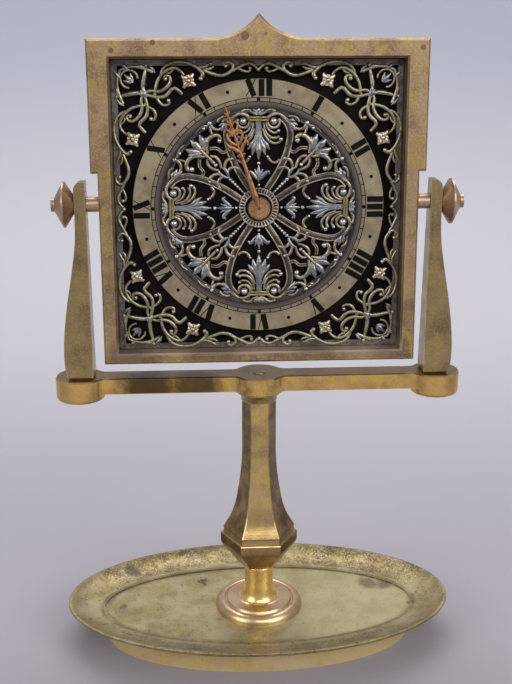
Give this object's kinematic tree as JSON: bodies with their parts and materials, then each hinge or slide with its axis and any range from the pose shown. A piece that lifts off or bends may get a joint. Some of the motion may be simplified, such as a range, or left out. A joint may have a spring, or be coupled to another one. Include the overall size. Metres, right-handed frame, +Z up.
{
  "type": "desk clock",
  "caption": "Brass desk clock with a square pierced dial in a swinging case, held by thumb knobs between uprights on a hexagonal column and an oval pin tray.",
  "frame": {"origin": "middle of the foot's underside, on the desk", "axes": "+Z up, +Y away from the viewer of the dial, +X to the viewer's right"},
  "size_m": [0.19, 0.1046, 0.3002],
  "materials": {
    "aged_brass": "aged, dull",
    "polished_brass": "polished, worn",
    "dial_board": "matte, dark",
    "fret_metal": "silvered, worn",
    "chapter_metal": "silvered, worn",
    "hand_metal": "gilt, coppery",
    "case_brass": "lacquered",
    "movement_brass": "satin",
    "steel": "satin"
  },
  "bodies": {
    "stand": {"tray": "aged_brass", "tray_foot": "aged_brass", "column_foot": "polished_brass", "column": "aged_brass", "column_cap": "aged_brass", "tie_rod": "steel", "tie_washer": "steel", "tie_nut": "steel", "cross_bar": "aged_brass", "upright_left": "aged_brass", "upright_right": "aged_brass", "upright_screws": "steel"},
    "head": {"case_frame": "aged_brass", "pivot_stud_left": "polished_brass", "pivot_stud_right": "polished_brass", "dial_backing": "dial_board", "spandrel_plate": "fret_metal", "chapter_ring": "chapter_metal", "centre_fret": "fret_metal", "retainer_plate": "case_brass", "retainer_screws": "steel", "drum_case": "case_brass", "drum_screws": "steel", "back_cover": "case_brass", "front_plate": "movement_brass", "back_plate": "movement_brass", "plate_pillars": "movement_brass", "pillar_nuts": "steel", "movement_screws": "steel"},
    "minute_train": {"centre_arbor": "steel", "centre_wheel": "movement_brass", "cannon_pinion": "steel", "minute_hand": "hand_metal", "hand_collet": "hand_metal", "set_knob": "polished_brass"},
    "hour_train": {"hour_wheel": "movement_brass", "hour_hand": "hand_metal"},
    "motion_wheel": {"minute_wheel": "movement_brass"},
    "barrel_body": {"barrel": "movement_brass", "barrel_cover": "movement_brass", "mainspring": "steel"},
    "winder": {"winding_arbor": "steel", "ratchet_wheel": "steel", "winding_key": "polished_brass"},
    "click_body": {"click": "steel"},
    "third_body": {"third_arbor": "steel", "third_wheel": "movement_brass"},
    "fourth_body": {"fourth_arbor": "steel", "fourth_wheel": "movement_brass"},
    "escape_body": {"escape_arbor": "steel", "escape_wheel": "movement_brass"},
    "lever_body": {"pallet_lever": "steel"},
    "balance_body": {"balance_staff": "steel", "balance_wheel": "movement_brass", "hairspring": "steel"},
    "knob_left_body": {"knob_left": "polished_brass"},
    "knob_right_body": {"knob_right": "polished_brass"}
  },
  "joints": [
    {"name": "case_tilt", "type": "hinge", "parent": "stand", "child": "head", "pos_m": [0, 0, 0.219], "axis": [1, 0, 0], "range_deg": [-150, 150]},
    {"name": "knob_left_turn", "type": "hinge", "parent": "head", "child": "knob_left_body", "pos_m": [-0.0865, 0, 0.219], "axis": [1, 0, 0], "continuous": true},
    {"name": "knob_right_turn", "type": "hinge", "parent": "head", "child": "knob_right_body", "pos_m": [0.0865, 0, 0.219], "axis": [1, 0, 0], "continuous": true},
    {"name": "hands_turn", "type": "hinge", "parent": "head", "child": "minute_train", "pos_m": [0, -0.00018, 0.21646], "axis": [0, 0.9976, -0.0698], "continuous": true},
    {"name": "hour_turn", "type": "hinge", "parent": "head", "child": "hour_train", "pos_m": [0, -0.00018, 0.21646], "axis": [0, 0.9976, -0.0698], "continuous": true},
    {"name": "motion_wheel_turn", "type": "hinge", "parent": "head", "child": "motion_wheel", "pos_m": [0, -0.00102, 0.20449], "axis": [0, 0.9976, -0.0698], "continuous": true},
    {"name": "barrel_turn", "type": "hinge", "parent": "head", "child": "barrel_body", "pos_m": [-0.01973, -0.00068, 0.20929], "axis": [0, 0.9976, -0.0698], "continuous": true},
    {"name": "third_turn", "type": "hinge", "parent": "head", "child": "third_body", "pos_m": [0.01522, 0.00021, 0.22198], "axis": [0, 0.9976, -0.0698], "continuous": true},
    {"name": "fourth_turn", "type": "hinge", "parent": "head", "child": "fourth_body", "pos_m": [0.01273, 0.0012, 0.23611], "axis": [0, 0.9976, -0.0698], "continuous": true},
    {"name": "escape_turn", "type": "hinge", "parent": "head", "child": "escape_body", "pos_m": [0.00032, 0.00135, 0.23829], "axis": [0, 0.9976, -0.0698], "continuous": true},
    {"name": "lever_rock", "type": "hinge", "parent": "head", "child": "lever_body", "pos_m": [-0.00776, 0.00145, 0.23971], "axis": [0, 0.9976, -0.0698], "range_deg": [-5, 5]},
    {"name": "balance_swing", "type": "hinge", "parent": "head", "child": "balance_body", "pos_m": [-0.01859, 0.00131, 0.23781], "axis": [0, 0.9976, -0.0698], "range_deg": [-135, 135], "stiffness_Nm_per_rad": 0.00002},
    {"name": "winding_turn", "type": "hinge", "parent": "head", "child": "winder", "pos_m": [-0.01973, -0.00068, 0.20929], "axis": [0, -0.9976, 0.0698], "range_deg": [0, 1440]},
    {"name": "click_lift", "type": "hinge", "parent": "head", "child": "click_body", "pos_m": [-0.03035, -0.00032, 0.21446], "axis": [0, 0.9976, -0.0698], "range_deg": [0, 8], "stiffness_Nm_per_rad": 0.0005, "springref_deg": -2.86}
  ],
  "couplings": [
    {"joint": "hour_turn", "follows": "hands_turn", "ratio": 0.083333},
    {"joint": "motion_wheel_turn", "follows": "hands_turn", "ratio": -0.33333},
    {"joint": "barrel_turn", "follows": "hands_turn", "ratio": -0.16667},
    {"joint": "third_turn", "follows": "hands_turn", "ratio": -8},
    {"joint": "escape_turn", "follows": "fourth_turn", "ratio": -8}
  ]
}
